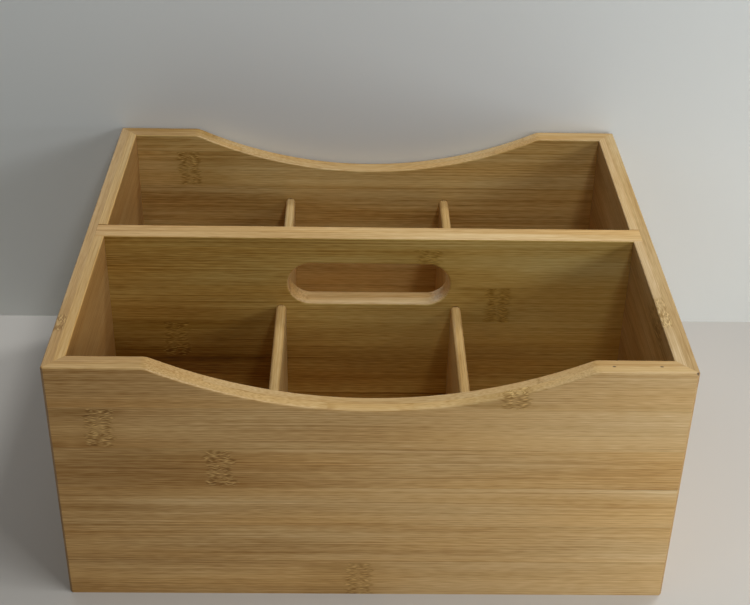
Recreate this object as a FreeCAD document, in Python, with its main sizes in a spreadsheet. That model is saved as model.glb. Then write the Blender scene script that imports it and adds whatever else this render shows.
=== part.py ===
import FreeCAD, Part
import os
import Sketcher

# Open-topped bamboo caddy with six compartments. Four mitred walls stand round a
# floor board held in grooves. A centre panel with a hand slot crosses the middle,
# and four low dividers split the space before and behind it into equal bays.
# Frame: millimetres, origin at the middle of the base, X along the width,
# Y from front to back, Z up.

os.makedirs("parts", exist_ok=True)
doc = FreeCAD.newDocument("open_top_caddy")

# Sizes that can be chosen freely
driving_sizes = [
    ("overall_width", 320, "outside, along the scooped front"),
    ("overall_depth", 260, "outside, front to back"),
    ("overall_height", 150, "table to rim"),
    ("wall_thickness", 10.8, "all four mitred walls, two plies"),
    ("corner_ease", 1.4, "flat taken off each outer upright corner"),
    ("rim_round", 0.9, "rounding along the rim and the panel tops"),
    ("scoop_width", 220, "chord of the dip in the front and back rim"),
    ("scoop_depth", 24.5, "lowest point of the dip below the rim"),
    ("scoop_corner_round", 9, "easing where the rim turns into the dip"),
    ("floor_thickness", 5, "floor board"),
    ("floor_rise", 5, "table to the underside of the floor board"),
    ("floor_groove_depth", 4, "groove for the floor board in every wall"),
    ("centre_thickness", 13, "centre panel with the hand slot"),
    ("housing_depth", 5.4, "upright housings in the side walls for the centre panel"),
    ("slot_length", 92.8, "hand slot, end to end"),
    ("slot_height", 26.4, "hand slot, with half-round ends"),
    ("slot_cover", 17.5, "wood left above the hand slot"),
    ("slot_round", 1.4, "rounding of both slot edges"),
    ("divider_thickness", 5.8, "low dividers"),
    ("divider_top", 104, "table to divider tops"),
    ("divider_round", 2.1, "rounding along the divider tops"),
    ("dado_depth", 3, "stopped dadoes that take the divider ends"),
    ("arch_gap", 0.7, "divider top to the crown of its dado"),
    ("fit_clearance", 0.05, "play of a board in its groove, each side"),
]

# Sizes that follow from them; two dividers leave three equal bays between the sides
derived_sizes = [
    ("half_width", "=overall_width / 2"),
    ("half_width_eased", "=half_width - corner_ease"),
    ("half_width_middle", "=half_width - corner_ease / 2"),
    ("half_width_inside", "=half_width - wall_thickness"),
    ("half_width_groove", "=half_width_inside + floor_groove_depth"),
    ("half_depth", "=overall_depth / 2"),
    ("half_depth_eased", "=half_depth - corner_ease"),
    ("half_depth_middle", "=half_depth - corner_ease / 2"),
    ("half_depth_inside", "=half_depth - wall_thickness"),
    ("half_depth_groove", "=half_depth_inside + floor_groove_depth"),
    ("half_ease", "=corner_ease / 2"),
    ("scoop_half", "=scoop_width / 2"),
    ("scoop_low", "=overall_height - scoop_depth"),
    ("scoop_radius", "=(scoop_half * scoop_half + scoop_depth * scoop_depth) / (2 * scoop_depth)"),
    ("scoop_centre", "=scoop_low + scoop_radius"),
    ("floor_top", "=floor_rise + floor_thickness"),
    ("floor_half_width", "=half_width_groove - fit_clearance"),
    ("floor_half_depth", "=half_depth_groove - fit_clearance"),
    ("groove_bed", "=wall_thickness - floor_groove_depth"),
    ("groove_height", "=floor_thickness + fit_clearance"),
    ("centre_half_length", "=half_width_inside + housing_depth - fit_clearance"),
    ("centre_face", "=centre_thickness / 2"),
    ("housing_half", "=centre_face + fit_clearance"),
    ("housing_bed", "=wall_thickness - housing_depth"),
    ("slot_top", "=overall_height - slot_cover"),
    ("slot_bottom", "=slot_top - slot_height"),
    ("slot_axis", "=(slot_top + slot_bottom) / 2"),
    ("slot_radius", "=slot_height / 2"),
    ("slot_straight", "=slot_length / 2 - slot_radius"),
    ("bay_width", "=(2 * half_width_inside - 2 * divider_thickness) / 3"),
    ("divider_offset", "=(bay_width + divider_thickness) / 2"),
    ("divider_face", "=divider_thickness / 2"),
    ("divider_height", "=divider_top - floor_top"),
    ("dado_half", "=divider_face + fit_clearance"),
    ("dado_inner", "=divider_offset - dado_half"),
    ("dado_outer", "=divider_offset + dado_half"),
    ("dado_shoulder", "=divider_top + arch_gap - dado_half"),
    ("wall_dado_bed", "=wall_thickness - dado_depth"),
    ("centre_dado_bed", "=centre_face - dado_depth"),
    ("divider_outer_end", "=half_depth_inside + dado_depth - fit_clearance"),
    ("divider_inner_end", "=centre_dado_bed + fit_clearance"),
    ("divider_length", "=divider_outer_end - divider_inner_end"),
    ("divider_middle", "=(divider_outer_end + divider_inner_end) / 2"),
]

# Share of the smallest clearance within which two coordinates count as one
match_share = 0.01

sizes = doc.addObject("Spreadsheet::Sheet", "Sizes")
for row, (name, value, note) in enumerate(driving_sizes, start=1):
    sizes.set(f"A{row}", name)
    sizes.set(f"B{row}", str(value))
    sizes.set(f"C{row}", note)
    sizes.setAlias(f"B{row}", name)
for row, (name, rule) in enumerate(derived_sizes, start=len(driving_sizes) + 1):
    sizes.set(f"A{row}", name)
    sizes.set(f"B{row}", rule)
    sizes.setAlias(f"B{row}", name)
doc.recompute()


def number(term):
    """Present value of a size named as 'half_width' or '-half_width'; '0' is zero."""
    if term == "0":
        return 0.0
    value = float(sizes.get(term.lstrip("-")))
    return -value if term.startswith("-") else value


def bind(target, path, term):
    """Tie a property or a sketch constraint to a signed size name."""
    if term.startswith("-"):
        target.setExpression(path, f"-Sizes.{term[1:]}")
    elif term != "0":
        target.setExpression(path, f"Sizes.{term}")


def new_body(label):
    body = doc.addObject("PartDesign::Body", label)
    body.Label = label
    return body


def new_sketch(body, name, plane, offset="0"):
    """Sketch on an origin plane of its own body, or shifted along that plane's normal."""
    sketch = body.newObject("Sketcher::SketchObject", f"{body.Name}_{name}")
    origin_plane = [f for f in body.Origin.OriginFeatures if f.Role == plane][0]
    sketch.AttachmentSupport = [(origin_plane, "")]
    sketch.MapMode = "FlatFace"
    bind(sketch, "AttachmentOffset.Base.z", offset)
    return sketch


def pin(sketch, kind, geometry, point, term):
    """Hold one coordinate of a sketch point at a named size."""
    constraint = Sketcher.Constraint(kind, geometry, point, number(term))
    index = sketch.addConstraint(constraint)
    bind(sketch, f"Constraints[{index}]", term)


def pin_point(sketch, geometry, point, x, y):
    pin(sketch, "DistanceX", geometry, point, x)
    pin(sketch, "DistanceY", geometry, point, y)


def pin_radius(sketch, geometry, term):
    index = sketch.addConstraint(Sketcher.Constraint("Radius", geometry, number(term)))
    bind(sketch, f"Constraints[{index}]", term)


def at(x, y):
    return FreeCAD.Vector(number(x), number(y), 0)


def line(sketch, start, end):
    return sketch.addGeometry(Part.LineSegment(start, end), False)


def arc(sketch, start, middle, end):
    return sketch.addGeometry(Part.Arc(start, middle, end), False)


def join_in_ring(sketch, pieces):
    """Make each piece start where the one before it ends."""
    for piece, follower in zip(pieces, pieces[1:] + pieces[:1]):
        sketch.addConstraint(Sketcher.Constraint("Coincident", piece, 2, follower, 1))


def outline(sketch, corners):
    """Closed polygon through named corners."""
    ends = corners[1:] + corners[:1]
    pieces = [line(sketch, at(*start), at(*end)) for start, end in zip(corners, ends)]
    join_in_ring(sketch, pieces)
    for piece, corner in zip(pieces, corners):
        pin_point(sketch, piece, 1, *corner)


def rectangle(sketch, left, bottom, right, top):
    outline(sketch, [(left, bottom), (right, bottom), (right, top), (left, top)])


def pad(body, sketch, length, both_ways=False):
    feature = body.newObject("PartDesign::Pad", f"{sketch.Name}_pad")
    feature.Profile = sketch
    feature.SideType = "Symmetric" if both_ways else "One side"
    bind(feature, "Length", length)
    doc.recompute()


def cut(body, sketch, length=None, along_normal=False, both_ways=False):
    """Pocket through everything, or to a named length, that has to remove some wood."""
    before = body.Shape.Volume
    feature = body.newObject("PartDesign::Pocket", f"{sketch.Name}_cut")
    feature.Profile = sketch
    feature.SideType = "Symmetric" if both_ways else "One side"
    feature.Reversed = along_normal
    if length is None:
        feature.Type = "ThroughAll"
    else:
        bind(feature, "Length", length)
    doc.recompute()
    removed = before - body.Shape.Volume
    if removed <= 0:
        raise ValueError(f"{feature.Name} removes nothing")
    print(f"{feature.Name} takes away {removed:.0f} mm3")


def same(a, b):
    return abs(a - b) < number("fit_clearance") * match_share


def fillet(body, name, wanted, radius):
    """Round the edges whose ends and middle are all wanted points."""
    base = body.Tip
    chosen = []
    for index, edge in enumerate(base.Shape.Edges, start=1):
        halfway = edge.valueAt((edge.FirstParameter + edge.LastParameter) / 2)
        points = [vertex.Point for vertex in edge.Vertexes] + [halfway]
        if all(wanted(point) for point in points):
            chosen.append(f"Edge{index}")
    feature = body.newObject("PartDesign::Fillet", f"{body.Name}_{name}")
    feature.Base = (base, chosen)
    bind(feature, "Radius", radius)
    doc.recompute()
    print(f"{feature.Name} rounds {len(chosen)} edges")


def place(body, x="0", y="0", z="0", turn=0):
    """Set the body down at a named place, turned about Z by a number of quarter turns."""
    quarter = FreeCAD.Rotation(FreeCAD.Vector(0, 0, 1), 90 * turn)
    body.Placement = FreeCAD.Placement(FreeCAD.Vector(0, 0, 0), quarter)
    bind(body, "Placement.Base.x", x)
    bind(body, "Placement.Base.y", y)
    bind(body, "Placement.Base.z", z)


def draw_scoop(sketch):
    """Circular dip in the rim, closed by its chord."""
    left = at("-scoop_half", "overall_height")
    right = at("scoop_half", "overall_height")
    dip = arc(sketch, left, at("0", "scoop_low"), right)
    chord = line(sketch, right, left)
    join_in_ring(sketch, [dip, chord])
    pin_point(sketch, dip, 3, "0", "scoop_centre")
    pin_radius(sketch, dip, "scoop_radius")
    pin(sketch, "DistanceY", dip, 1, "overall_height")
    pin(sketch, "DistanceY", dip, 2, "overall_height")


def draw_dado(sketch, sign):
    """Stopped dado seen from its open side: a straight run under a half-round crown."""
    names = ("dado_inner", "divider_offset", "dado_outer")
    if sign < 0:
        names = ("-dado_outer", "-divider_offset", "-dado_inner")
    left, middle, right = names
    crown = at(middle, "dado_shoulder") + FreeCAD.Vector(0, number("dado_half"), 0)
    foot = line(sketch, at(left, "floor_top"), at(right, "floor_top"))
    rise = line(sketch, at(right, "floor_top"), at(right, "dado_shoulder"))
    top = arc(sketch, at(right, "dado_shoulder"), crown, at(left, "dado_shoulder"))
    fall = line(sketch, at(left, "dado_shoulder"), at(left, "floor_top"))
    join_in_ring(sketch, [foot, rise, top, fall])
    pin_point(sketch, foot, 1, left, "floor_top")
    pin_point(sketch, foot, 2, right, "floor_top")
    pin_point(sketch, top, 3, middle, "dado_shoulder")
    pin_radius(sketch, top, "dado_half")
    pin(sketch, "DistanceY", top, 1, "dado_shoulder")
    pin(sketch, "DistanceY", top, 2, "dado_shoulder")


def draw_slot(sketch):
    """Hand slot with half-round ends."""
    reach = FreeCAD.Vector(number("slot_radius"), 0, 0)
    low_left, low_right = at("-slot_straight", "slot_bottom"), at("slot_straight", "slot_bottom")
    top_left, top_right = at("-slot_straight", "slot_top"), at("slot_straight", "slot_top")
    bottom = line(sketch, low_left, low_right)
    right = arc(sketch, low_right, at("slot_straight", "slot_axis") + reach, top_right)
    top = line(sketch, top_right, top_left)
    left = arc(sketch, top_left, at("-slot_straight", "slot_axis") - reach, low_left)
    join_in_ring(sketch, [bottom, right, top, left])
    for end, middle in ((right, "slot_straight"), (left, "-slot_straight")):
        pin_point(sketch, end, 3, middle, "slot_axis")
        pin_radius(sketch, end, "slot_radius")
        pin(sketch, "DistanceX", end, 1, middle)
        pin(sketch, "DistanceX", end, 2, middle)


def on_rim(point):
    """True on the two long edges of a wall's top, dip included."""
    on_a_face = same(point.y, 0) or same(point.y, number("wall_thickness"))
    return on_a_face and point.z > number("scoop_low") - number("fit_clearance")


def mitred_wall(label, span, scooped):
    """Wall with its outer face on y = 0, its inner face on +y and a mitre at each end."""
    half, inside = f"half_{span}", f"half_{span}_inside"
    eased, middle, groove = f"{half}_eased", f"{half}_middle", f"{half}_groove"
    body = new_body(label)
    plan = new_sketch(body, "plan", "XY_Plane")
    outline(plan, [
        (f"-{eased}", "0"), (eased, "0"), (middle, "half_ease"),
        (inside, "wall_thickness"), (f"-{inside}", "wall_thickness"),
        (f"-{middle}", "half_ease"),
    ])
    pad(body, plan, "overall_height")
    if scooped:
        dip = new_sketch(body, "dip", "XZ_Plane")
        draw_scoop(dip)
        cut(body, dip, both_ways=True)

        def at_dip_start(point):
            on_the_rim = same(point.z, number("overall_height"))
            return on_the_rim and same(abs(point.x), number("scoop_half"))

        fillet(body, "dip_corners", at_dip_start, "scoop_corner_round")
    fillet(body, "rim_edges", on_rim, "rim_round")
    floor_groove = new_sketch(body, "floor_groove", "XY_Plane", "floor_rise")
    rectangle(floor_groove, f"-{groove}", "groove_bed", groove, "wall_thickness")
    cut(body, floor_groove, "groove_height", along_normal=True)
    if scooped:
        dadoes = new_sketch(body, "dadoes", "XZ_Plane", "-wall_dado_bed")
        draw_dado(dadoes, 1)
        draw_dado(dadoes, -1)
        cut(body, dadoes)
    else:
        housing = new_sketch(body, "housing", "XZ_Plane", "-housing_bed")
        rectangle(housing, "-housing_half", "floor_top", "housing_half", "overall_height")
        cut(body, housing)
    return body


def build_walls():
    """Scooped front and back, plain sides; each turned so that its outer face looks outwards."""
    front = mitred_wall("front_panel", "width", scooped=True)
    place(front, y="-half_depth")
    back = mitred_wall("back_panel", "width", scooped=True)
    place(back, y="half_depth", turn=2)
    left = mitred_wall("left_side_panel", "depth", scooped=False)
    place(left, x="-half_width", turn=-1)
    right = mitred_wall("right_side_panel", "depth", scooped=False)
    place(right, x="half_width", turn=1)
    return [front, back, left, right]


def build_floor():
    """Board held in the grooves of all four walls."""
    body = new_body("bottom_panel")
    plan = new_sketch(body, "plan", "XY_Plane")
    rectangle(plan, "-floor_half_width", "-floor_half_depth", "floor_half_width", "floor_half_depth")
    pad(body, plan, "floor_thickness")
    place(body, z="floor_rise")
    return body


def build_centre_panel():
    """Full-height panel with a hand slot, housed in the side walls and dadoed on both faces."""
    body = new_body("centre_panel")
    face = new_sketch(body, "face", "XZ_Plane")
    rectangle(face, "-centre_half_length", "floor_top", "centre_half_length", "overall_height")
    pad(body, face, "centre_thickness", both_ways=True)
    slot = new_sketch(body, "slot", "XZ_Plane")
    draw_slot(slot)
    cut(body, slot, both_ways=True)

    def on_top(point):
        return same(abs(point.y), number("centre_face")) and same(point.z, number("overall_height"))

    def round_slot(point):
        in_length = abs(point.x) < number("slot_straight") + number("slot_radius") + number("slot_round")
        in_height = abs(point.z - number("slot_axis")) < number("slot_radius") + number("slot_round")
        return same(abs(point.y), number("centre_face")) and in_length and in_height

    fillet(body, "top_edges", on_top, "rim_round")
    fillet(body, "slot_edges", round_slot, "slot_round")
    for name, bed, forwards in (("front", "centre_dado_bed", True), ("back", "-centre_dado_bed", False)):
        dadoes = new_sketch(body, f"{name}_dadoes", "XZ_Plane", bed)
        draw_dado(dadoes, 1)
        draw_dado(dadoes, -1)
        cut(body, dadoes, along_normal=forwards)
    return body


def build_divider(label, x, y):
    """Low board with rounded top edges, standing on the floor with its ends in two dadoes."""
    body = new_body(label)
    end = new_sketch(body, "end", "XZ_Plane")
    rectangle(end, "-divider_face", "0", "divider_face", "divider_height")
    pad(body, end, "divider_length", both_ways=True)

    def on_top(point):
        return same(abs(point.x), number("divider_face")) and same(point.z, number("divider_height"))

    fillet(body, "top_edges", on_top, "divider_round")
    place(body, x=x, y=y, z="floor_top")
    return body


bodies = build_walls()
bodies.append(build_floor())
bodies.append(build_centre_panel())
for row_name, y in (("front", "-divider_middle"), ("back", "divider_middle")):
    for side_name, x in (("left", "-divider_offset"), ("right", "divider_offset")):
        bodies.append(build_divider(f"{row_name}_{side_name}_divider", x, y))

# Nothing may be left in error before the pieces are written out
doc.recompute()
for item in doc.Objects:
    if "Invalid" in item.State or "Error" in item.State:
        raise RuntimeError(f"{item.Label} is in state {item.State}")
for body in bodies:
    shape = body.Shape
    if shape.isNull() or not shape.isValid() or len(shape.Solids) != 1:
        raise RuntimeError(f"{body.Label} is not one valid solid")
    box = shape.BoundBox
    print(f"{body.Label}: {box.XLength:.2f} x {box.YLength:.2f} x {box.ZLength:.2f} mm")
    shape.exportStep(f"parts/{body.Label}.step")
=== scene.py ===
# %% [markdown]
# # An open-topped bamboo desk caddy
# The object is a glued box of flat-pressed bamboo boards: four mitred walls, a floor board let
# into them, a tall centre panel with a hand slot to lift the box by, and four low dividers that
# make six compartments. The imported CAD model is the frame, and this script dresses it. It sets
# the camera, the stage and the light, builds the bamboo as a procedural material at its real
# size in millimetres, and makes the four dividers with Geometry Nodes.

# %% Load the frame
import math

import bpy
from mathutils import Matrix, Vector


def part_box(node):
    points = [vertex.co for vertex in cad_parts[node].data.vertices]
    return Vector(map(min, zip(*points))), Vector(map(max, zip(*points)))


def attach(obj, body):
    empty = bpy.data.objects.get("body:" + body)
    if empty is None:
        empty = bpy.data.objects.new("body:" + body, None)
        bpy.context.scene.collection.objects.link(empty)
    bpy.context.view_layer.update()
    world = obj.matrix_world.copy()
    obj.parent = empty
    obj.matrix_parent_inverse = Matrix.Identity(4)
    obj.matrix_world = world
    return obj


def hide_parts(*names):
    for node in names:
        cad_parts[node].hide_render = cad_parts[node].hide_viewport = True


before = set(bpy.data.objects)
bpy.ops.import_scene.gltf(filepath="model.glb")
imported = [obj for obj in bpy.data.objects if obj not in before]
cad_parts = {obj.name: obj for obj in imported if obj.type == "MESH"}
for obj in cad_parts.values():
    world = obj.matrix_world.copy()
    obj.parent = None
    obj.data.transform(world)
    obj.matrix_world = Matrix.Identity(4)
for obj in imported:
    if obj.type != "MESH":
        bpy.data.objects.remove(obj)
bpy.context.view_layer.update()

MM = 0.001
print("CAD nodes:", sorted(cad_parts))

# %% [markdown]
# ## One helper for every node tree
# Shaders and Geometry Nodes are both trees of nodes. One small function adds a node, sets its own
# settings, and fills its sockets: a number is typed into the socket, and a node or a socket is
# linked to it. Blender keeps a socket for each data type under one name, so the helper takes the
# enabled one.

# %% A helper that adds a node
def open_socket(sockets, key):
    """The enabled socket of that name, or the socket at that place in the list."""
    if isinstance(key, int):
        return sockets[key]
    return next(s for s in sockets if s.name == key and s.enabled)


def add(tree, kind, inputs=(), **settings):
    """Adds a node of a kind; settings are its own, and inputs are values, nodes or sockets."""
    node = tree.nodes.new(kind)
    for name, value in settings.items():
        setattr(node, name, value)
    pairs = inputs.items() if isinstance(inputs, dict) else enumerate(inputs)
    for key, value in pairs:
        into = open_socket(node.inputs, key)
        if isinstance(value, bpy.types.Node):
            value = next(s for s in value.outputs if s.enabled)
        if isinstance(value, bpy.types.NodeSocket):
            tree.links.new(value, into)
        else:
            into.default_value = value
    return node


print("helper ready: add")

# %% [markdown]
# ## Colours
# Colours are written as sRGB hex codes, which can be read off a paint card or a screen. Blender
# works in linear light, so one function turns each code to linear. The numbers in it are those of
# the sRGB standard.

# %% Hex colour to linear
def colour(hex_code):
    """An sRGB hex colour as the linear RGBA that Blender's sockets take."""
    parts = [int(hex_code[i : i + 2], 16) / 255 for i in (1, 3, 5)]
    linear = [p / 12.92 if p <= 0.04045 else ((p + 0.055) / 1.055) ** 2.4 for p in parts]
    return (*linear, 1.0)


PLAIN = "#FFFFFF"
print("middle straw in linear light:", [round(v, 3) for v in colour("#C7A168")])

# %% [markdown]
# ## The camera
# The picture looks down on the caddy from just left of its middle. A camera can be set by eye, but
# here its lens, place and tilt were worked out once from the corners of the box in the picture,
# which is true to about a pixel. The small vertical shift stands for the part of the original
# picture that was cropped away.

# %% Camera
CAMERA_PLACE = (-0.01075, -0.64307, 0.53538)
CAMERA_TURN = (59.189, -1.042, -0.602)
LENS = 63.39
SENSOR_WIDTH = 36.0
SHIFT_DOWN = -0.0967
NEAREST_SEEN = 0.01

camera_data = bpy.data.cameras.new("camera")
camera_data.lens = LENS
camera_data.sensor_width = SENSOR_WIDTH
camera_data.shift_y = SHIFT_DOWN
camera_data.clip_start = NEAREST_SEEN
camera = bpy.data.objects.new("camera", camera_data)
camera.location = CAMERA_PLACE
camera.rotation_euler = [math.radians(v) for v in CAMERA_TURN]
bpy.context.scene.collection.objects.link(camera)
bpy.context.scene.camera = camera
bpy.context.scene.view_settings.view_transform = "Standard"
print("camera at", CAMERA_PLACE, "with a", LENS, "mm lens")

# %% [markdown]
# ## The stage
# The caddy stands on a plain pale table top, its back close to a plain wall. Each is one flat face
# with a matt paint, which shows soft shadows and no reflection. The wall would hide the caddy from
# a camera behind it, so its far side is clear, and it neither blocks nor bounces light: only the
# camera sees it.

# %% A flat sheet for the stage
STAGE_ROUGHNESS = 0.7


def flat_sheet(name, corners, hex_code, one_sided):
    """A stage plane of one plain colour; one_sided leaves its far side clear."""
    mesh = bpy.data.meshes.new(name)
    mesh.from_pydata(corners, [], [range(len(corners))])
    sheet = bpy.data.objects.new(name, mesh)
    bpy.context.scene.collection.objects.link(sheet)
    material = bpy.data.materials.new(f"matt_{name}")
    material.use_nodes = True
    tree = material.node_tree
    tree.nodes.clear()
    paint = {"Base Color": colour(hex_code), "Roughness": STAGE_ROUGHNESS}
    shader = add(tree, "ShaderNodeBsdfPrincipled", paint)
    if one_sided:
        side = add(tree, "ShaderNodeNewGeometry")
        clear = add(tree, "ShaderNodeBsdfTransparent")
        shader = add(tree, "ShaderNodeMixShader", [side.outputs["Backfacing"], shader, clear])
    add(tree, "ShaderNodeOutputMaterial", [shader])
    mesh.materials.append(material)
    return sheet


print("helper ready: flat_sheet")

# %% Floor and wall
FLOOR_COLOUR = "#CEC6B8"
WALL_COLOUR = "#E7E8E1"
REACH = 3.0
WALL_PLACE = 0.1315
WALL_HEIGHT = 1.6

floor_front = [(-REACH, -REACH, 0), (REACH, -REACH, 0)]
floor_back = [(REACH, REACH, 0), (-REACH, REACH, 0)]
flat_sheet("floor", floor_front + floor_back, FLOOR_COLOUR, False)
wall_foot = [(-REACH, WALL_PLACE, 0), (REACH, WALL_PLACE, 0)]
wall_head = [(REACH, WALL_PLACE, WALL_HEIGHT), (-REACH, WALL_PLACE, WALL_HEIGHT)]
wall = flat_sheet("wall", wall_foot + wall_head, WALL_COLOUR, True)
wall.visible_shadow = False
wall.visible_diffuse = False
wall.visible_glossy = False

# %% [markdown]
# ## Light
# The caddy stands in a bright room. Three small spots above it and a ceiling lamp further out draw
# the slanting shadows inside the compartments, and their size sets how soft the edges of those
# shadows are. A lamp behind lights the compartments from the other side. Two windows on the right
# throw the long shadow on the wall, and a low lamp close to the right end stands for the bright
# worktop there, which makes the front paler from left to right. The broad ceiling and the two
# fills are the light that comes back from the rest of the room. One large window would be simpler,
# but it would give only a single soft shadow.

# %% Lamps
DAYLIGHT = "#F0F6FF"
LAMP_AIM = Vector((0.0, 0.0, 0.1))
LAMPS = {
    "spot_over_table": dict(place=(0.38, -0.2, 1.2), size=0.15, watts=1.8),
    "spot_towards_wall": dict(place=(0.3, -0.02, 1.2), size=0.15, watts=1.75),
    "spot_towards_room": dict(place=(0.3, -0.4, 1.2), size=0.15, watts=1.4),
    "ceiling_lamp": dict(place=(0.53, -0.76, 1.96), size=0.14, watts=0.95),
    "lamp_behind": dict(place=(0.6, 0.5, 1.2), size=0.2, watts=4.5),
    "low_window": dict(place=(1.0, -1.18, 0.55), size=0.25, watts=2.7),
    "side_window": dict(place=(1.3, -0.7, 0.9), size=0.3, watts=2.0),
    "worktop_glow": dict(place=(0.5, -0.35, 0.12), size=0.2, watts=0.9),
    "broad_ceiling": dict(place=(0.0, 0.0, 2.4), size=2.5, watts=10.5),
    "left_fill": dict(place=(-1.2, -1.2, 0.9), size=0.8, watts=1.75),
    "back_fill": dict(place=(-0.9, 1.5, 0.9), size=1.0, watts=4.0),
}
for name, lamp in LAMPS.items():
    data = bpy.data.lights.new(name, "AREA")
    data.shape = "DISK"
    data.size = lamp["size"]
    data.energy = lamp["watts"]
    data.color = colour(DAYLIGHT)[:3]
    item = bpy.data.objects.new(name, data)
    item.location = lamp["place"]
    item.rotation_euler = (item.location - LAMP_AIM).to_track_quat("Z", "Y").to_euler()
    item.visible_camera = False
    bpy.context.scene.collection.objects.link(item)
print("lamps:", sorted(LAMPS))

# %% World
WORLD_LEVEL = 0.02
world = bpy.data.worlds.new("studio")
world.use_nodes = True
bpy.context.scene.world = world
world.node_tree.nodes.clear()
backdrop = add(world.node_tree, "ShaderNodeBackground", [colour(PLAIN), WORLD_LEVEL])
add(world.node_tree, "ShaderNodeOutputWorld", [backdrop])
print("world level", WORLD_LEVEL)

# %% [markdown]
# ## The bamboo as one node group
# Every board is flat-pressed laminated bamboo with a thin satin varnish. The cane is split into
# strips about 25 mm wide, which are planed, laid flat side by side and glued into plies, and two
# plies are pressed into a board. To the eye that gives broad bands of slightly different straw
# colours, fine straight fibres, and knuckle marks where the cane had its joints. A picture of
# bamboo could be wrapped round each board, but it would stretch and repeat. A procedural pattern
# keeps its real size and runs through the board from face to edge, as real strips do. One node
# group holds all of it, and each board's material uses it with its own settings. It works in
# millimetres on a board's own axes: X runs along the grain, Y across the strips, and Z goes down
# from the outer face.

# %% The group's sockets
def add_sockets(tree, way, kinds):
    """Gives a tree its outside sockets, INPUT or OUTPUT, from a table of names and kinds."""
    made = {}
    for name, kind in kinds.items():
        socket_type = f"NodeSocket{kind}"
        made[name] = tree.interface.new_socket(name, in_out=way, socket_type=socket_type)
    return made


BAMBOO_INPUTS = {
    "Place": "Vector", "Marks": "Vector", "Outer Start": "Float", "Inner Start": "Float",
    "Ply Joint": "Float", "Thickness": "Float", "Board": "Float", "Light Drift": "Float",
    "Grain": "Float", "Mitre": "Float", "Outer Face": "Color", "Outer Edge": "Color",
    "Inner Edge": "Color", "Inner Face": "Color",
}
bamboo = bpy.data.node_groups.new("flat_pressed_bamboo", "ShaderNodeTree")
add_sockets(bamboo, "INPUT", BAMBOO_INPUTS)
add_sockets(bamboo, "OUTPUT", {"Color": "Color", "Roughness": "Float", "Height": "Float"})
given = add(bamboo, "NodeGroupInput").outputs
print("the bamboo group takes", list(BAMBOO_INPUTS))

# %% [markdown]
# ## Plies and strips
# A board's two plies meet at its middle, and their strips start at different heights, so the
# joints are staggered. Each strip could be a mesh of its own, but the faces are planed flush, so
# the strips are left to the material. Dividing the height by the strip width gives each strip a
# whole number, and a white noise of that number, the ply and the board gives each strip its own
# piece of cane.

# %% Plies and strips
STRIP_WIDTH = 25.6
axes = add(bamboo, "ShaderNodeSeparateXYZ", [given["Place"]]).outputs
inner_ply = [axes["Z"], given["Ply Joint"]]
inner_ply = add(bamboo, "ShaderNodeMath", inner_ply, operation="GREATER_THAN")
starts = {"Factor": inner_ply, "A": given["Outer Start"], "B": given["Inner Start"]}
start = add(bamboo, "ShaderNodeMix", starts)
from_start = add(bamboo, "ShaderNodeMath", [axes["Y"], start], operation="SUBTRACT")
strips = add(bamboo, "ShaderNodeMath", [from_start, STRIP_WIDTH], operation="DIVIDE")
strip = add(bamboo, "ShaderNodeMath", [strips], operation="FLOOR")
in_strip = add(bamboo, "ShaderNodeMath", [strips], operation="FRACT")
cane_name = {"Vector": add(bamboo, "ShaderNodeCombineXYZ", [strip, inner_ply, given["Board"]])}
cane = add(bamboo, "ShaderNodeTexWhiteNoise", cane_name, noise_dimensions="3D").outputs
print("strips", STRIP_WIDTH, "mm wide")

# %% [markdown]
# ## Fibres
# All the streaks are one kind of pattern: a noise that is stretched along the grain. A wave
# texture draws streaks too, but evenly spaced ones, and fibres are irregular. A function makes the
# pattern, because it is used at many sizes. Each strip reads its own far-off part of the noise, so
# its streaks end at the glue line.

# %% Streaks along the grain
CANE_SPREAD = 400.0
NOISE_GAIN = 4.0
own = [cane["Color"], (CANE_SPREAD,) * 3, given["Place"]]
own = add(bamboo, "ShaderNodeVectorMath", own, operation="MULTIPLY_ADD")


def streaks(place, length, across, through, detail=0.0):
    """A noise drawn out to streaks of that size in millimetres, about -1 to 1 in strength."""
    size = [place, (length, across, through)]
    size = add(bamboo, "ShaderNodeVectorMath", size, operation="DIVIDE")
    noise = add(bamboo, "ShaderNodeTexNoise", {"Vector": size, "Scale": 1.0, "Detail": detail})
    signed = [noise, NOISE_GAIN, -NOISE_GAIN / 2]
    return add(bamboo, "ShaderNodeMath", signed, operation="MULTIPLY_ADD")


print("pattern ready: streaks")

# %% [markdown]
# Bamboo fibres run nearly straight: they wander by about half a millimetre over a hand's width.
# Only at the knuckles do they swirl. The wandering is added to the place before the fine patterns
# read it.

# %% Fibre flow
WANDER_SLOW = 0.55
WANDER_FAST = 0.1
SWIRL = 0.55
marks = add(bamboo, "ShaderNodeSeparateXYZ", [given["Marks"]]).outputs
knuckle, smudge_and_shade, pit = marks["X"], marks["Y"], marks["Z"]
slow = streaks(own, length=150, across=20, through=20)
fast = streaks(own, length=22, across=6, through=6)
swirl = streaks(own, length=4.5, across=3, through=3)
swirl = add(bamboo, "ShaderNodeMath", [swirl, knuckle], operation="MULTIPLY")
wander = 0.0
for source, reach in ((slow, WANDER_SLOW), (fast, WANDER_FAST), (swirl, SWIRL)):
    wander = add(bamboo, "ShaderNodeMath", [source, reach, wander], operation="MULTIPLY_ADD")
aside = add(bamboo, "ShaderNodeCombineXYZ", {"Y": wander})
flow = add(bamboo, "ShaderNodeVectorMath", [own, aside], operation="ADD")
print("fibres wander by about", WANDER_SLOW, "mm")

# %% [markdown]
# ## The layers of streaks
# From broad to fine: patches of growth and of warmer colour, single fibre lines the length of a
# board, shorter fibres, and the cut ends of fibre bundles. The last two rows are the veins and
# where they may show. Real fibre bundles are about 0.3 mm across, which is less than one pixel
# here, so the finest are drawn at 0.4 to 0.8 mm.

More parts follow.
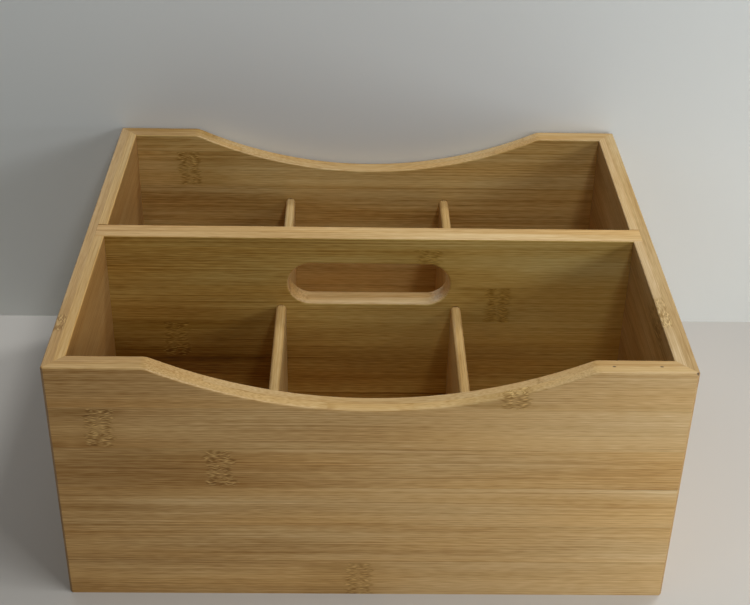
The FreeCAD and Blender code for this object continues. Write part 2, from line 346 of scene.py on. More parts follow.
# %% Layers of streaks
LAYERS = {
    "patches": dict(place=own, length=120, across=12, through=12),
    "warmth": dict(place=own, length=130, across=14, through=14),
    "lines": dict(place=flow, length=220, across=0.42, through=0.7),
    "fibres": dict(place=flow, length=70, across=0.8, through=0.9, detail=1.0),
    "bundles": dict(place=flow, length=8, across=0.45, through=0.42),
    "veins": dict(place=flow, length=120, across=0.5, through=0.8),
    "vein_zones": dict(place=own, length=120, across=3.0, through=4.5),
}
layers = {name: streaks(**layer) for name, layer in LAYERS.items()}
print("width of each layer in millimetres:", {n: layer["across"] for n, layer in LAYERS.items()})

# %% [markdown]
# ## Tone
# Each layer could mix in a colour of its own. Here the canes, the patches and the fibres each add
# a share to one tone instead, which keeps them all in one range of straw colours. A strip is also
# often darker along one of its edges, where it was nearer to the bark, so each has a lean from its
# lower to its upper edge. The drift is painted light: it makes a whole board paler towards its
# right end, where more light falls, and darker towards its dim left end.

# %% Lean of a strip and the painted light drift
cane_tone = [cane["Value"], 2.0, -1.0]
cane_tone = add(bamboo, "ShaderNodeMath", cane_tone, operation="MULTIPLY_ADD")
above_middle = add(bamboo, "ShaderNodeMath", [in_strip, 0.5], operation="SUBTRACT")
cane_green = add(bamboo, "ShaderNodeSeparateColor", [cane["Color"]]).outputs["Green"]
cane_lean = add(bamboo, "ShaderNodeMath", [cane_green, 0.5], operation="SUBTRACT")
lean = add(bamboo, "ShaderNodeMath", [above_middle, cane_lean], operation="MULTIPLY")
# Painted light: the drift makes a board paler along its grain towards the lit right end.
painted_light_tone = add(bamboo, "ShaderNodeMath", [axes["X"], given["Light Drift"]], operation="MULTIPLY")
print("each strip has its own tone and lean")

# %% Sum of the shares
TONE_SHARES = (
    (cane_tone, 0.072), (lean, 0.22), (layers["patches"], 0.062), (painted_light_tone, 0.01),
    (layers["lines"], 0.095), (layers["fibres"], 0.05), (layers["bundles"], 0.07),
)
tone = 0.0
for source, share in TONE_SHARES:
    tone = add(bamboo, "ShaderNodeMath", [source, share, tone], operation="MULTIPLY_ADD")
print("tone is the sum of", len(TONE_SHARES), "shares")

# %% [markdown]
# A board's broad faces show more contrast than its sanded edges, so the tone is spread by less
# there. The outer and the inner face are found by their depth in the board.

# %% Faces and edges
SKIN = 0.25
EDGE_CONTRAST = 0.7
MIDDLE_TONE = 0.5
from_inner = [given["Thickness"], axes["Z"]]
from_inner = add(bamboo, "ShaderNodeMath", from_inner, operation="SUBTRACT")
at_outer = add(bamboo, "ShaderNodeMath", [axes["Z"], SKIN], operation="LESS_THAN")
at_inner = add(bamboo, "ShaderNodeMath", [from_inner, SKIN], operation="LESS_THAN")
at_face = add(bamboo, "ShaderNodeMath", [at_outer, at_inner], operation="MAXIMUM")
contrast = [at_face, 1.0 - EDGE_CONTRAST, EDGE_CONTRAST]
contrast = add(bamboo, "ShaderNodeMath", contrast, operation="MULTIPLY_ADD")
contrast = add(bamboo, "ShaderNodeMath", [contrast, given["Grain"]], operation="MULTIPLY")
tone = add(bamboo, "ShaderNodeMath", [tone, contrast, MIDDLE_TONE], operation="MULTIPLY_ADD")
print("edges keep", EDGE_CONTRAST, "of the contrast")

# %% [markdown]
# ## Straw colours
# The tone picks a colour between brown straw and cream. Bamboo loses much more blue than red as it
# darkens, so the dark stops are warmer, not just darker. Some stretches are a touch warmer again.

# %% Tone to colour
STRAW = (
    (0.0, "#6E4417"), (0.25, "#9F7439"), (0.5, "#C7A168"), (0.72, "#DBBC88"), (1.0, "#EDD7B2"),
)
ramp = add(bamboo, "ShaderNodeValToRGB", [tone])
stops = ramp.color_ramp.elements
while len(stops) < len(STRAW):
    stops.new(0.5)
for stop, (at, hex_code) in zip(stops, STRAW):
    stop.position = at
    stop.color = colour(hex_code)
print("straw colours:", [hex_code for at, hex_code in STRAW])

# %% Warmer stretches
WARM_TINT = "#FFF7E6"
warm = {"Value": layers["warmth"], "From Min": -0.6, "From Max": 0.9}
warm = add(bamboo, "ShaderNodeMapRange", warm)
warming = {"Factor": warm, "A": ramp.outputs["Color"], "B": colour(WARM_TINT)}
body = add(bamboo, "ShaderNodeMix", warming, data_type="RGBA", blend_type="MULTIPLY")
print("warm tint", WARM_TINT)

# %% [markdown]
# ## Veins and glue lines
# Thin dark veins come in groups a few millimetres wide. The glue lines between strips are hardly
# wider than a hair, and come and go along the board. They are too fine to cut into the mesh, so
# they are worked out from the distance to the nearest strip edge, and drawn one to two pixels
# wide. Where the two plies meet, a thin line of glue shows on the edges.

# %% Veins
vein_line = {"Value": layers["veins"], "From Min": 0.42, "From Max": 0.9}
vein_line = add(bamboo, "ShaderNodeMapRange", vein_line)
vein_here = {"Value": layers["vein_zones"], "From Min": 0.1, "From Max": 0.8}
vein_here = add(bamboo, "ShaderNodeMapRange", vein_here)
vein = add(bamboo, "ShaderNodeMath", [vein_line, vein_here], operation="MULTIPLY")
print("veins ready")

# %% Glue lines between strips
GLUE_LINE = 0.4
GLUE_CORE = 0.05
GLUE_HALO = 2.4
GLUE_FAINTEST = 0.15
to_middle = add(bamboo, "ShaderNodeMath", [above_middle], operation="ABSOLUTE")
to_seam = [to_middle, -STRIP_WIDTH, 0.5 * STRIP_WIDTH]
to_seam = add(bamboo, "ShaderNodeMath", to_seam, operation="MULTIPLY_ADD")
seam = {"Value": to_seam, "From Min": GLUE_LINE, "From Max": GLUE_CORE}
seam = add(bamboo, "ShaderNodeMapRange", seam)
come_and_go = streaks(given["Place"], length=45, across=30, through=30)
seam_here = {"Value": come_and_go, "From Min": -0.6, "From Max": 0.6, "To Min": GLUE_FAINTEST}
seam_here = add(bamboo, "ShaderNodeMapRange", seam_here)
seam = add(bamboo, "ShaderNodeMath", [seam, seam_here], operation="MULTIPLY")
halo = {"Value": to_seam, "From Min": GLUE_HALO, "From Max": 0.0}
halo = add(bamboo, "ShaderNodeMapRange", halo)
halo = add(bamboo, "ShaderNodeMath", [halo, vein_here], operation="MULTIPLY")
print("glue lines reach", GLUE_LINE, "mm to each side")

# %% Glue line between the plies
PLY_LINE = 0.3
PLY_LINE_CORE = 0.1
PLY_LINE_FAINTEST = 0.12
to_joint = add(bamboo, "ShaderNodeMath", [axes["Z"], given["Ply Joint"]], operation="SUBTRACT")
to_joint = add(bamboo, "ShaderNodeMath", [to_joint], operation="ABSOLUTE")
joint = {"Value": to_joint, "From Min": PLY_LINE, "From Max": PLY_LINE_CORE}
joint = add(bamboo, "ShaderNodeMapRange", joint)
joint_here = streaks(given["Place"], length=14, across=40, through=40, detail=1.0)
joint_here = {
    "Value": joint_here, "From Min": 0.0, "From Max": 1.0, "To Min": PLY_LINE_FAINTEST,
}
joint_here = add(bamboo, "ShaderNodeMapRange", joint_here)
joint = add(bamboo, "ShaderNodeMath", [joint, joint_here], operation="MULTIPLY")
print("the ply line reaches", PLY_LINE, "mm to each side")

# %% [markdown]
# ## Knuckles and smudges
# At a knuckle the fibres cross over, which shows as a patch of short light and dark dashes on a
# browner ground. Smudges are the soft brown clouds that often lie beside one, and they are darkest
# near a glue line. The same mask also carries the painted shade of the wider clouds. The dashes
# are one more layer of streaks, short and fine: its high values are the light dashes and its low
# values the dark ones. Where the marks lie on a board is worked out outside this group, and comes
# in through the Marks socket.

# %% Knuckle dashes
DASH_START = 0.1
DASH_FULL = 0.75
dashes = streaks(flow, length=3.4, across=0.45, through=0.65)
light_dash = {"Value": dashes, "From Min": DASH_START, "From Max": DASH_FULL}
light_dash = add(bamboo, "ShaderNodeMapRange", light_dash)
light_dash = add(bamboo, "ShaderNodeMath", [light_dash, knuckle], operation="MULTIPLY")
dark_dash = {"Value": dashes, "From Min": -DASH_START, "From Max": -DASH_FULL}
dark_dash = add(bamboo, "ShaderNodeMapRange", dark_dash)
dark_dash = add(bamboo, "ShaderNodeMath", [dark_dash, knuckle], operation="MULTIPLY")
print("knuckle dashes ready")

# %% Smudges
SMUDGE_PALEST = 0.5
SOAKED = 1.0
SOAKED_REACH = 9.0
UNSOAKED = 0.55
smudge_grain = streaks(flow, length=90, across=3.0, through=4.0)
smudge_grain = {
    "Value": smudge_grain, "From Min": -1.0, "From Max": 0.8, "To Min": SMUDGE_PALEST,
}
smudge_grain = add(bamboo, "ShaderNodeMapRange", smudge_grain)
# The smudge mask also carries the painted shade of the clouds.
smudges_and_shade = add(bamboo, "ShaderNodeMath", [smudge_and_shade, smudge_grain], operation="MULTIPLY")
near_glue = {"Value": to_seam, "From Min": SOAKED_REACH, "From Max": SOAKED, "To Min": UNSOAKED}
near_glue = add(bamboo, "ShaderNodeMapRange", near_glue)
smudges_and_shade = add(bamboo, "ShaderNodeMath", [smudges_and_shade, near_glue], operation="MULTIPLY")
print("smudges keep", UNSOAKED, "of their strength past", SOAKED_REACH, "mm from a glue line")

# %% [markdown]
# All dark marks are laid over the straw colour in the same way, as layers of one amber tint that
# multiply it, so that they stay as warm as the real ones. The light dashes and the small pits in
# the top edge have colours of their own. Each row is a mask, its colour, its strength and how the
# colour is laid on.

# %% Stains over the straw colour
AMBER = "#CBBC89"
LIGHT_STRAW = "#E0B974"
PIT_BROWN = "#3A2612"
STAINS = (
    (vein, AMBER, 0.18, "MULTIPLY"),
    (halo, AMBER, 0.04, "MULTIPLY"),
    (seam, AMBER, 0.45, "MULTIPLY"),
    # This row lays real smudges and the painted shade of the clouds.
    (smudges_and_shade, AMBER, 1.0, "MULTIPLY"),
    (knuckle, AMBER, 0.4, "MULTIPLY"),
    (light_dash, LIGHT_STRAW, 0.72, "MIX"),
    (dark_dash, AMBER, 0.75, "MULTIPLY"),
    (joint, AMBER, 0.8, "MULTIPLY"),
    (pit, PIT_BROWN, 0.85, "MIX"),
)
for mask, hex_code, strength, way in STAINS:
    share = add(bamboo, "ShaderNodeMath", [mask, strength], operation="MULTIPLY")
    stain = {"Factor": share, "A": body, "B": colour(hex_code)}
    body = add(bamboo, "ShaderNodeMix", stain, data_type="RGBA", blend_type=way)
print("stains:", len(STAINS))

# %% [markdown]
# ## Tints of a board's surfaces
# The two plies and the faces of a board come from different canes, and an inside face stays darker
# than a sanded outside one. Each board could have a group of its own, but four tints are enough:
# for its outer face, its inner face and the edges of its two plies. Some tints also paint light
# and
# shade: a face or an edge is made paler where more light falls on it and darker where it is in
# shade, as the boards' rows say. The eased upright corners of the walls are painted darker: partly
# the end grain of the mitre, partly painted shade that keeps them from showing as bright lines.

# %% Tints of faces, edges and corners
CORNER_SHADE = "#DCD0BC"
edges = {"Factor": inner_ply, "A": given["Outer Edge"], "B": given["Inner Edge"]}
tint = add(bamboo, "ShaderNodeMix", edges, data_type="RGBA")
for mask, face in ((at_outer, "Outer Face"), (at_inner, "Inner Face")):
    tint = {"Factor": mask, "A": tint, "B": given[face]}
    tint = add(bamboo, "ShaderNodeMix", tint, data_type="RGBA")
body = add(bamboo, "ShaderNodeVectorMath", [body, tint], operation="MULTIPLY")
# Painted shade, partly end grain: the eased upright corners past the mitre line are darkened.
from_middle = add(bamboo, "ShaderNodeMath", [axes["X"]], operation="ABSOLUTE")
at_shaded_corner = [from_middle, given["Mitre"]]
at_shaded_corner = add(bamboo, "ShaderNodeMath", at_shaded_corner, operation="GREATER_THAN")
corner_shade = {"Factor": at_shaded_corner, "A": colour(PLAIN), "B": colour(CORNER_SHADE)}
corner_shade = add(bamboo, "ShaderNodeMix", corner_shade, data_type="RGBA")
body = add(bamboo, "ShaderNodeVectorMath", [body, corner_shade], operation="MULTIPLY")
print("surfaces tinted")

# %% [markdown]
# ## Sheen and relief
# The varnish is satin. It sinks a little less into the hard fibres, so they are slightly glossier.
# A sanded and varnished face is nearly flat: fibres, knuckle dashes and glue lines stand out or
# sink in by one or two thousandths of a millimetre, and only the pits are deep. Mesh that fine
# would be huge, so the relief is a height for the shader's bump. Each row is a pattern and its
# height.

# %% Sheen, relief and the group's output
SATIN_DULL = 0.47
SATIN_BRIGHT = 0.43
sheen = {"Value": layers["fibres"], "From Min": -1.0, "From Max": 1.0}
sheen.update({"To Min": SATIN_DULL, "To Max": SATIN_BRIGHT})
sheen = add(bamboo, "ShaderNodeMapRange", sheen)
knuckle_dashes = add(bamboo, "ShaderNodeMath", [dashes, knuckle], operation="MULTIPLY")
RELIEF = ((layers["fibres"], 0.2), (knuckle_dashes, 0.2), (seam, -0.4), (pit, -20.0))
height = 0.0
for source, share in RELIEF:
    height = add(bamboo, "ShaderNodeMath", [source, share, height], operation="MULTIPLY_ADD")
add(bamboo, "NodeGroupOutput", [body, sheen, height])
print("bamboo group:", len(bamboo.nodes), "nodes")

# %% [markdown]
# ## Where a knuckle lies
# A knuckle crosses one strip of one ply, from glue line to glue line, as two ragged columns of
# dashes, and the smudge beside it is wider. A round spot would be simpler to draw, but it would
# cross the glue lines, which a real knuckle can't. A second node group works out both masks for
# one knuckle and keeps the larger of its own and the earlier ones, so knuckles can be chained.

# %% The knuckle group's sockets
KNUCKLE_INPUTS = {
    "Place": "Vector", "Others": "Vector", "Along": "Float", "Strip Low": "Float",
    "Outer Ply": "Float", "Ply Joint": "Float", "Strength": "Float",
}
knot = bpy.data.node_groups.new("bamboo_knuckle", "ShaderNodeTree")
add_sockets(knot, "INPUT", KNUCKLE_INPUTS)
add_sockets(knot, "OUTPUT", {"Marks": "Vector"})
asked = add(knot, "NodeGroupInput").outputs
knot_axes = add(knot, "ShaderNodeSeparateXYZ", [asked["Place"]]).outputs
print("the knuckle group takes", list(KNUCKLE_INPUTS))

# %% Two ragged columns
SMOOTH = "SMOOTHSTEP"
RAG_SIZE = (9.0, 3.2, 6.0)
RAG = 4.5
COLUMN_MIDDLE = 3.6
COLUMN_FULL = 1.6
COLUMN_REACH = 4.6
ragged = add(knot, "ShaderNodeVectorMath", [asked["Place"], RAG_SIZE], operation="DIVIDE")
ragged = add(knot, "ShaderNodeTexNoise", {"Vector": ragged, "Scale": 1.0, "Detail": 1.0})
ragged = add(knot, "ShaderNodeMath", [ragged, 2 * RAG, -RAG], operation="MULTIPLY_ADD")
off = add(knot, "ShaderNodeMath", [knot_axes["X"], asked["Along"]], operation="SUBTRACT")
off = add(knot, "ShaderNodeMath", [off, ragged], operation="ADD")
far = add(knot, "ShaderNodeMath", [off], operation="ABSOLUTE")
from_column = add(knot, "ShaderNodeMath", [far, COLUMN_MIDDLE], operation="SUBTRACT")
from_column = add(knot, "ShaderNodeMath", [from_column], operation="ABSOLUTE")
column = {"Value": from_column, "From Min": COLUMN_REACH, "From Max": COLUMN_FULL}
column = add(knot, "ShaderNodeMapRange", column, interpolation_type=SMOOTH)
print("knuckle columns", COLUMN_MIDDLE, "mm either side of the middle")

# %% The smudge beside them
BESIDE_MIDDLE = 9.0
BESIDE_FULL = 5.0
BESIDE_REACH = 30.0
BESIDE_STRENGTH = 0.65
beside = add(knot, "ShaderNodeMath", [off, BESIDE_MIDDLE], operation="ADD")
beside = add(knot, "ShaderNodeMath", [beside], operation="ABSOLUTE")
beside = {"Value": beside, "From Min": BESIDE_REACH, "From Max": BESIDE_FULL}
beside["To Max"] = BESIDE_STRENGTH
beside = add(knot, "ShaderNodeMapRange", beside, interpolation_type=SMOOTH)
print("the smudge reaches", BESIDE_REACH, "mm from its middle")

# %% Kept to one strip of one ply
FADE_START = 0.3
FADE_END = 1.6
up = add(knot, "ShaderNodeMath", [knot_axes["Y"], asked["Strip Low"]], operation="SUBTRACT")
above_low = {"Value": up, "From Min": FADE_START, "From Max": FADE_END}
above_low = add(knot, "ShaderNodeMapRange", above_low, interpolation_type=SMOOTH)
below_high = {"Value": up, "From Min": STRIP_WIDTH - FADE_START}
below_high["From Max"] = STRIP_WIDTH - FADE_END
below_high = add(knot, "ShaderNodeMapRange", below_high, interpolation_type=SMOOTH)
past_joint = [knot_axes["Z"], asked["Ply Joint"]]
past_joint = add(knot, "ShaderNodeMath", past_joint, operation="GREATER_THAN")
in_ply = add(knot, "ShaderNodeMath", [past_joint, asked["Outer Ply"]], operation="SUBTRACT")
in_ply = add(knot, "ShaderNodeMath", [in_ply], operation="ABSOLUTE")
window = add(knot, "ShaderNodeMath", [above_low, below_high], operation="MULTIPLY")
window = add(knot, "ShaderNodeMath", [window, in_ply], operation="MULTIPLY")
window = add(knot, "ShaderNodeMath", [window, asked["Strength"]], operation="MULTIPLY")
column = add(knot, "ShaderNodeMath", [column, window], operation="MULTIPLY")
beside = add(knot, "ShaderNodeMath", [beside, window], operation="MULTIPLY")
both = add(knot, "ShaderNodeCombineXYZ", [column, beside])
both = add(knot, "ShaderNodeVectorMath", [both, asked["Others"]], operation="MAXIMUM")
add(knot, "NodeGroupOutput", [both])
print("knuckle group:", len(knot.nodes), "nodes")

# %% [markdown]
# ## From object metres to a board's millimetres
# A Mapping node turns and scales Object coordinates, so that every board, however it stands, reads
# the bamboo along its own grain. The turn is worked out from three axis names. Where those three
# would mirror the board, the last one is turned back and given a negative scale instead.

# %% A board's axes
AXES = {"x": (1, 0, 0), "y": (0, 1, 0), "z": (0, 0, 1)}


def axis_row(axis):
    """An axis such as x or -y as one row of a matrix."""
    sign = -1 if axis.startswith("-") else 1
    return [sign * v for v in AXES[axis[-1]]]


def board_axes(along, across, through):
    """Rotation and scale that turn object metres into a board's own millimetres."""
    turn = Matrix([axis_row(axis) for axis in (along, across, through)])
    scale = Vector((1, 1, 1))
    if turn.determinant() < 0:
        scale[AXES[through[-1]].index(1)] = -1
        turn = turn @ Matrix.Diagonal(scale)
    return turn.to_euler("XYZ"), scale / MM


print("helper ready: board_axes")

# %% [markdown]
# ## Marks of one board
# Three kinds of mark sit at places of their own on a board: knuckles, soft brown clouds that are
# wider than a smudge, and small pits in a top edge. The clouds are painted shade: they darken the
# left ends of the front and centre panels and of the back rim, where less light falls. Knuckles
# and pits could be scattered at random, but on a box this small each one is noticed, so each is
# put where the real one is. Each kind adds its mask to the three that travel together as one
# vector: X for knuckles, Y for smudges and the painted shade of the clouds, Z for pits.

# %% Knuckles, clouds and pits
SHADE_CLOUD_DEPTH = 20.0
SHADE_CLOUD_CORE = 0.2
PIT_SIZE = (0.9, 1.0, 0.5)
PIT_FLOOR = 0.7
PIT_RIM = 1.2


def away_from(tree, place, middle, size):
    """How far a place is from a mark's middle, as a multiple of the mark's size."""
    away = add(tree, "ShaderNodeVectorMath", [place, middle], operation="SUBTRACT")
    away = add(tree, "ShaderNodeVectorMath", [away, size], operation="DIVIDE")
    return add(tree, "ShaderNodeVectorMath", [away], operation="LENGTH").outputs["Value"]


def board_marks(tree, place, ply_joint, knuckles, shade_clouds, pits):
    """The masks of all marks of a board, as one vector."""
    found = (0.0, 0.0, 0.0)
    for along, strip_low, ply, strength in knuckles:
        mark = {
            "Place": place, "Others": found, "Along": along, "Strip Low": strip_low,
            "Outer Ply": 1.0 - ply, "Ply Joint": ply_joint, "Strength": strength,
        }
        found = add(tree, "ShaderNodeGroup", mark, node_tree=knot)
    # Painted shade: each cloud darkens a soft patch where less light falls.
    for along, across, length, height, strength in shade_clouds:
        away = away_from(tree, place, (along, across, 0), (length, height, SHADE_CLOUD_DEPTH))
        dark = {"Value": away, "From Min": 1.0, "From Max": SHADE_CLOUD_CORE, "To Max": strength}
        dark = add(tree, "ShaderNodeMapRange", dark, interpolation_type=SMOOTH)
        dark = add(tree, "ShaderNodeCombineXYZ", {"Y": dark})
        found = add(tree, "ShaderNodeVectorMath", [found, dark], operation="MAXIMUM")
    for middle in pits:
        away = away_from(tree, place, middle, PIT_SIZE)
        deep = {"Value": away, "From Min": PIT_RIM, "From Max": PIT_FLOOR}
        deep = add(tree, "ShaderNodeMapRange", deep)
        deep = add(tree, "ShaderNodeCombineXYZ", {"Z": deep})
        found = add(tree, "ShaderNodeVectorMath", [found, deep], operation="MAXIMUM")
    return found


print("helper ready: board_marks")

# %% [markdown]
# ## The material of one board
# The bamboo group gives the colour, the roughness and the relief. One unit of relief is five
# thousandths of a millimetre, because low light along the front would turn anything more into deep
# grooves. A thin coat over the shader is the varnish: clear and satin, with the index of most wood
# varnishes, it gives wide soft highlights and no mirror image. Pieces that share one material read
# their number from an attribute, and each starts its strips a little higher than the one before.

# %% Tint of a surface
def as_tint(value):
    """A tint from one brightness or from three channels."""
    channels = value if isinstance(value, tuple) else (value, value, value)
    return (*channels, 1.0)


print("a tint of 0.9 is", as_tint(0.9))

# %% Material of one board
RELIEF_UNIT = 0.005 * MM
VARNISH = {"IOR": 1.5, "Specular IOR Level": 0.3, "Coat Weight": 0.08, "Coat Roughness": 0.3}
NO_MITRE = 1000.0
PIECE_SHIFT = 7.3


def bamboo_board(
    name, grain, outer, thickness, ply_joint, starts, tones, board=0.0, light_drift=0.0, contrast=1.0,
    mitre=NO_MITRE, knuckles=(), shade_clouds=(), pits=(), per_piece=False,
):
    """The bamboo of one board; lengths are millimetres on the board's own axes."""
    material = bpy.data.materials.new(f"laminated_bamboo_{name}")
    material.use_nodes = True
    tree = material.node_tree
    tree.nodes.clear()
    rotation, scale = board_axes(*grain)
    spot = add(tree, "ShaderNodeTexCoord").outputs["Object"]
    mapping = {"Vector": spot, "Location": (0, 0, -outer), "Rotation": rotation, "Scale": scale}
    place = add(tree, "ShaderNodeMapping", mapping).outputs["Vector"]
    outer_start, inner_start = starts
    if per_piece:
        board = add(tree, "ShaderNodeAttribute", attribute_name="board").outputs["Fac"]
        shifted = [board, PIECE_SHIFT, outer_start]
        outer_start = add(tree, "ShaderNodeMath", shifted, operation="MULTIPLY_ADD")
    wood = {
        "Place": place, "Marks": board_marks(tree, place, ply_joint, knuckles, shade_clouds, pits),
        "Outer Start": outer_start, "Inner Start": inner_start, "Ply Joint": ply_joint,
        "Thickness": thickness, "Board": board, "Light Drift": light_drift, "Grain": contrast,
        "Mitre": mitre,
    }
    for socket, value in zip(("Outer Face", "Outer Edge", "Inner Edge", "Inner Face"), tones):
        wood[socket] = as_tint(value)
    wood = add(tree, "ShaderNodeGroup", wood, node_tree=bamboo).outputs
    relief = {"Strength": 1.0, "Distance": RELIEF_UNIT, "Height": wood["Height"]}
    skin = {"Base Color": wood["Color"], "Roughness": wood["Roughness"], **VARNISH}
    skin["Normal"] = add(tree, "ShaderNodeBump", relief)
    add(tree, "ShaderNodeOutputMaterial", [add(tree, "ShaderNodeBsdfPrincipled", skin)])
    return material


print("one unit of relief is", round(RELIEF_UNIT / MM, 4), "mm")

# %% [markdown]
# ## The six boards of the CAD model
# Each row holds a board's measured settings: which way its grain runs, where its outer face and
# its ply line are, where the strips of its outer and inner ply start, the tints of its outer face,
# outer edge, inner edge and inner face, and a board number that picks its canes. The numbers were
# chosen so that the light and dark strips come in the same order as on the real box. A knuckle is
# its place along the grain, the lower edge of its strip, its ply and its strength. A cloud is its
# middle, its half length, its half height and its strength.

# %% The walls along the length
LONG_WALL = dict(outer=-130.0, thickness=10.8, ply_joint=5.4, mitre=158.62)
BOARDS = {}
# Painted light and shade: the face and top edge are tinted paler to stand in for more light, the
# drift makes the board paler towards the lit right end, and the clouds darken its dim left end.
BOARDS["front_panel"] = dict(
    LONG_WALL, grain=("x", "z", "y"), starts=(24.0, 11.0), board=51269.0, light_drift=0.065,
    tones=(1.095, (1.14, 1.17, 1.17), 1.0, 0.9),
    pits=[(118.6, 150.0, 5.2), (142.0, 150.0, 5.4), (158.9, 149.5, 0.4)],
    shade_clouds=[(-110, 88, 95, 26, 0.8), (-140, 61, 45, 6, 1.0), (-95, 36, 110, 18, 0.2)],
    knuckles=[
        (-134.4, 100.8, 0, 1.0), (-75.8, 75.2, 0, 1.0), (-4.6, -1.6, 0, 0.9),
        (71.0, 126.4, 0, 1.0), (20.0, 87.8, 1, 0.8),
    ],
)
# Painted shade: the cloud darkens the left end of the back rim, where less light falls.
BOARDS["back_panel"] = dict(
    LONG_WALL, grain=("-x", "z", "-y"), starts=(18.0, 11.0), board=45272.0, contrast=1.15,
    tones=(1.0, 1.0, 1.04, (1.09, 1.13, 0.97)),
    shade_clouds=[(135, 150, 62, 15, 1.5)],
    knuckles=[
        (116.3, 113.4, 1, 1.0), (-92.0, 43.6, 0, 0.9), (40.0, 94.8, 0, 0.8),
        (105.0, 18.0, 0, 1.0),
    ],
)
print("rows:", sorted(BOARDS))

# %% The two sides
SIDE_WALL = dict(outer=-160.0, thickness=10.8, ply_joint=5.4, mitre=128.62)
# Painted shade: this side's tints are darker than the others, most of all on its inner face,  to
# stand in for the left end getting less light.
BOARDS["left_side_panel"] = dict(
    SIDE_WALL, grain=("-y", "z", "x"), starts=(13.0, 5.0), board=18978.0,
    tones=(0.92, 0.92, (1.0, 0.98, 0.86), (0.7, 0.585, 0.44)),
    knuckles=[(91.7, 141.0, 0, 1.0), (-40.0, 64.2, 0, 0.8), (30.0, 30.6, 1, 0.8)],
)
# Painted light and shade: the top edges are tinted paler and cooler where the light from the right
# falls on them, and the inner face darker where it is in shade.
BOARDS["right_side_panel"] = dict(
    SIDE_WALL, grain=("y", "z", "-x"), starts=(13.0, 8.0), board=44626.0,
    tones=(1.0, (1.12, 1.2, 1.34), (1.17, 1.26, 1.5), 0.9),
    knuckles=[
        (-83.0, 136.0, 1, 1.0), (-70.0, 136.0, 1, 0.7), (60.0, 38.6, 0, 1.0),
        (-20.0, 89.8, 0, 0.8),
    ],
)
print("rows:", sorted(BOARDS))

# %% Centre panel and floor board
# Painted light and shade: the edges are tinted paler so that the floor of the hand slot looks lit,
# the outer face loses blue to paint the warm shade of the front compartments, the drift makes  it
# paler towards the lit right end, and the cloud darkens its dim left end.
BOARDS["centre_panel"] = dict(
    grain=("x", "z", "y"), outer=-6.5, thickness=13.0, ply_joint=6.5, starts=(15.7, 9.0),
    tones=((0.97, 0.965, 0.6), 1.2, 1.23, 1.0), board=12260.0, light_drift=0.07, contrast=1.35,
    shade_clouds=[(-110, 78, 90, 30, 1.4)],
    knuckles=[
        (-112.5, 66.9, 0, 0.9), (75.0, 92.5, 0, 1.0), (34.3, 118.1, 0, 0.9),
        (-60.0, 85.8, 1, 1.0),
    ],
)
BOARDS["bottom_panel"] = dict(
    grain=("x", "y", "-z"), outer=-10.0, thickness=5.0, ply_joint=9.0, starts=(4.0, 4.0),
    tones=(1.0, 1.0, 1.0, 1.0), board=6.0,
    knuckles=[(-90.0, 29.6, 0, 1.0), (60.0, -72.8, 0, 0.8), (10.0, 80.8, 0, 0.9)],
)
print("rows:", sorted(BOARDS))

# %% Each board gets its bamboo
for name, row in BOARDS.items():
    material = bamboo_board(name, **row)
    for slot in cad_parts[name].material_slots:
        slot.material = material
print("boards dressed:", len(BOARDS))

# %% [markdown]
# ## The dividers
# Four equal low boards with rounded tops stand in stopped dadoes. They could be modelled one by
# one, but one shape on a grid of two by two is a job for Geometry Nodes: a rounded section is
# swept along the board's length, and the board is put on the four points of a grid. The inputs are
# named, and their sizes are read from the CAD dividers that this piece stands in for.

# %% Sizes of the dividers
DIVIDERS = (
    "front_left_divider", "front_right_divider", "back_left_divider", "back_right_divider",
)
TOP_ROUND = 2.1 * MM
FOOT_ROUND = 0.2 * MM
near_low, near_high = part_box("front_right_divider")
far_low, far_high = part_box("back_left_divider")
divider_size = near_high - near_low
grid_size = (near_low + near_high - far_low - far_high) / 2
DIVIDER_INPUTS = {
    "Thickness": divider_size.x, "Length": divider_size.y, "Height": divider_size.z,
    "Top Round": TOP_ROUND, "Foot Round": FOOT_ROUND, "Foot": near_low.z,
    "Spread Across": abs(grid_size.x), "Spread Along": abs(grid_size.y),
}
in_millimetres = {key: round(v / MM, 2) for key, v in DIVIDER_INPUTS.items()}
print("divider millimetres:", in_millimetres)

# %% The tree's sockets
maker = bpy.data.node_groups.new("divider_boards", "GeometryNodeTree")
sockets = add_sockets(maker, "INPUT", {name: "Float" for name in DIVIDER_INPUTS})
sockets.update(add_sockets(maker, "INPUT", {"Finish": "Material"}))
add_sockets(maker, "OUTPUT", {"Geometry": "Geometry"})
wanted = add(maker, "NodeGroupInput").outputs
print("the divider tree takes", list(sockets))

# %% [markdown]
# The section is a rectangle with filleted corners, large at the top and small at the foot. Which
# corner is which is read from its height on the flat rectangle: swept along a line, the
# rectangle's low side comes out on top.

# %% Rounded section
ROUND_STEPS = 8
outline = {"Width": wanted["Thickness"], "Height": wanted["Height"]}
outline = add(maker, "GeometryNodeCurvePrimitiveQuadrilateral", outline)
corner_place = add(maker, "GeometryNodeInputPosition")
corner_height = add(maker, "ShaderNodeSeparateXYZ", [corner_place]).outputs["Y"]
is_top = {"A": corner_height, "B": 0.0}
is_top = add(maker, "FunctionNodeCompare", is_top, operation="LESS_THAN", data_type="FLOAT")
rounding = {"Switch": is_top, "False": wanted["Foot Round"], "True": wanted["Top Round"]}
rounding = add(maker, "GeometryNodeSwitch", rounding, input_type="FLOAT")
rounded = {"Curve": outline, "Count": ROUND_STEPS, "Radius": rounding}
rounded = add(maker, "GeometryNodeFilletCurve", rounded, mode="POLY")
print("rounded corners in", ROUND_STEPS, "steps")

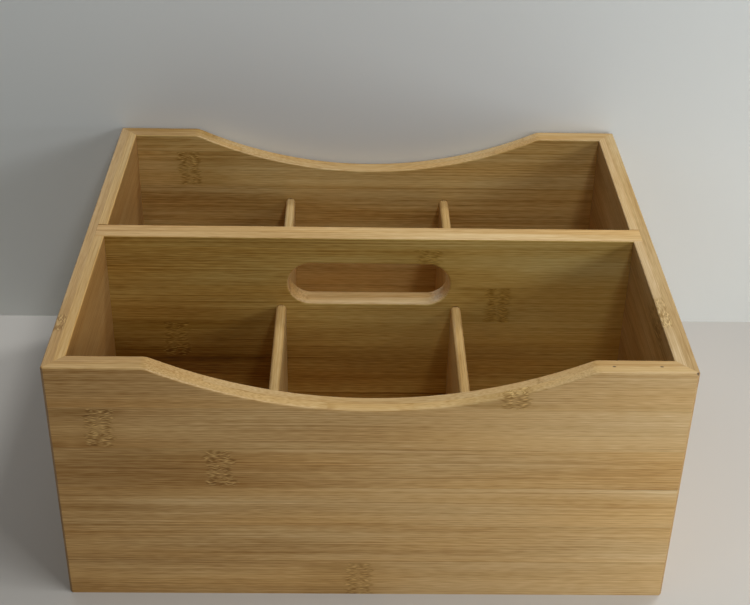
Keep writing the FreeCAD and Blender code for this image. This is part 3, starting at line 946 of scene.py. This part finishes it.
# %% Swept along the board
far_end = add(maker, "ShaderNodeMath", [wanted["Length"], 0.5], operation="MULTIPLY")
near_end = add(maker, "ShaderNodeMath", [wanted["Length"], -0.5], operation="MULTIPLY")
far_end = add(maker, "ShaderNodeCombineXYZ", {"Y": far_end})
near_end = add(maker, "ShaderNodeCombineXYZ", {"Y": near_end})
path = add(maker, "GeometryNodeCurvePrimitiveLine", {"Start": near_end, "End": far_end})
one_board = {"Curve": path, "Profile Curve": rounded, "Fill Caps": True}
one_board = add(maker, "GeometryNodeCurveToMesh", one_board)
print("the board's ends are capped")

# %% [markdown]
# The four boards are instances on the grid's points. Each keeps its number as an attribute, which
# the material reads as its board number, so that no two have the same grain.

# %% Four boards on a grid
grid = {"Size X": wanted["Spread Across"], "Size Y": wanted["Spread Along"]}
grid.update({"Vertices X": 2, "Vertices Y": 2})
grid = add(maker, "GeometryNodeMeshGrid", grid)
lift = [wanted["Height"], 0.5, wanted["Foot"]]
lift = add(maker, "ShaderNodeMath", lift, operation="MULTIPLY_ADD")
lift = add(maker, "ShaderNodeCombineXYZ", {"Z": lift})
raised = add(maker, "GeometryNodeTransform", {"Geometry": grid, "Translation": lift})
placed = {"Points": raised, "Instance": one_board}
placed = add(maker, "GeometryNodeInstanceOnPoints", placed)
number = {"Geometry": placed, "Name": "board", "Value": add(maker, "GeometryNodeInputIndex")}
numbering = dict(data_type="FLOAT", domain="INSTANCE")
number = add(maker, "GeometryNodeStoreNamedAttribute", number, **numbering)
real = add(maker, "GeometryNodeRealizeInstances", {"Geometry": number})
dressed = {"Geometry": real, "Material": wanted["Finish"]}
dressed = add(maker, "GeometryNodeSetMaterial", dressed)
add(maker, "NodeGroupOutput", [dressed])
print("divider tree:", len(maker.nodes), "nodes")

# %% [markdown]
# The dividers are single boards, so their outer face and ply line are put far away: only their
# grain and strips show. The tree is run once on an empty carrier, and its result is kept as a
# plain mesh.

# %% Run the tree and keep the mesh
FAR_OUT = 1000.0
divider_wood = bamboo_board(
    "divider_boards", grain=("y", "z", "x"), outer=-400.0, thickness=FAR_OUT,
    ply_joint=FAR_OUT, starts=(10.0, 10.0), tones=(1.0, (1.0, 1.0, 0.94), 1.0, 1.0),
    contrast=1.3, per_piece=True,
)
carrier_mesh = bpy.data.meshes.new("divider_carrier")
carrier = bpy.data.objects.new("divider_carrier", carrier_mesh)
bpy.context.scene.collection.objects.link(carrier)
modifier = carrier.modifiers.new("dividers", "NODES")
modifier.node_group = maker
for name, value in DIVIDER_INPUTS.items():
    modifier[sockets[name].identifier] = float(value)
modifier[sockets["Finish"].identifier] = divider_wood
graph = bpy.context.evaluated_depsgraph_get()
mesh = bpy.data.meshes.new_from_object(carrier.evaluated_get(graph))
bpy.data.objects.remove(carrier)
print("dividers:", len(mesh.polygons), "faces")

# %% Hand the dividers to the frame
dividers = bpy.data.objects.new("divider_boards", mesh)
bpy.context.scene.collection.objects.link(dividers)
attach(dividers, "root")
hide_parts(*DIVIDERS)
print("one piece stands in for", len(DIVIDERS), "nodes")
